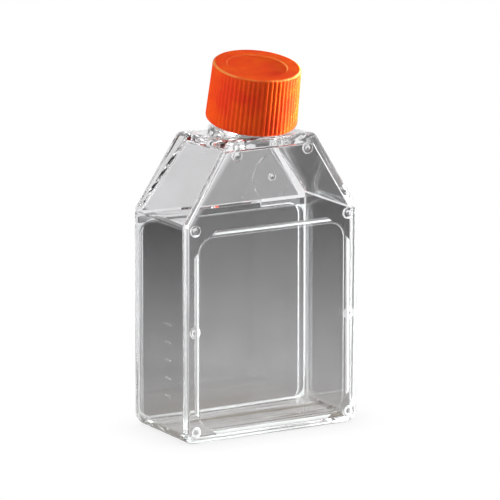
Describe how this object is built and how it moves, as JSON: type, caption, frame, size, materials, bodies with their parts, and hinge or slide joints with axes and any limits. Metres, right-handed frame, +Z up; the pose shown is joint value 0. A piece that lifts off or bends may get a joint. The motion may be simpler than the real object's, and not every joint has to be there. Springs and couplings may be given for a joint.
{
  "type": "cell culture flask",
  "caption": "Flat-sided clear flask with sloped shoulders, a leaning round neck and a ribbed screw cap, for growing cells on its large back face.",
  "frame": {"origin": "middle of the flask's base end, on the plane it stands on", "axes": "+Z up the flask towards the cap, +X across its width, +Y out of the growth face; the neck leans towards -Y"},
  "size_m": [0.0492, 0.0287, 0.0928],
  "materials": {
    "clear_plastic": "clear moulded polystyrene, polished",
    "clear_plate": "clear moulded polystyrene, polished",
    "seal_plastic": "soft natural polyethylene",
    "cap_plastic": "satin orange polyethylene"
  },
  "bodies": {
    "flask": {"flask_shell": "clear_plastic", "growth_plate": "clear_plate"},
    "seal": {"plug_seal": "seal_plastic"},
    "cap": {"screw_cap": "cap_plastic"}
  },
  "joints": [
    {"name": "cap_rise", "type": "slide", "parent": "flask", "child": "seal", "axis": [0, -0.2028, 0.9792], "range_m": [0, 0.0047]},
    {"name": "cap_turn", "type": "hinge", "parent": "seal", "child": "cap", "pos_m": [0, -0.00197, 0.0736], "axis": [0, -0.2028, 0.9792], "range_deg": [0, 490]}
  ],
  "couplings": [
    {"joint": "cap_rise", "follows": "cap_turn", "m_per_rad": 0.00054113}
  ]
}
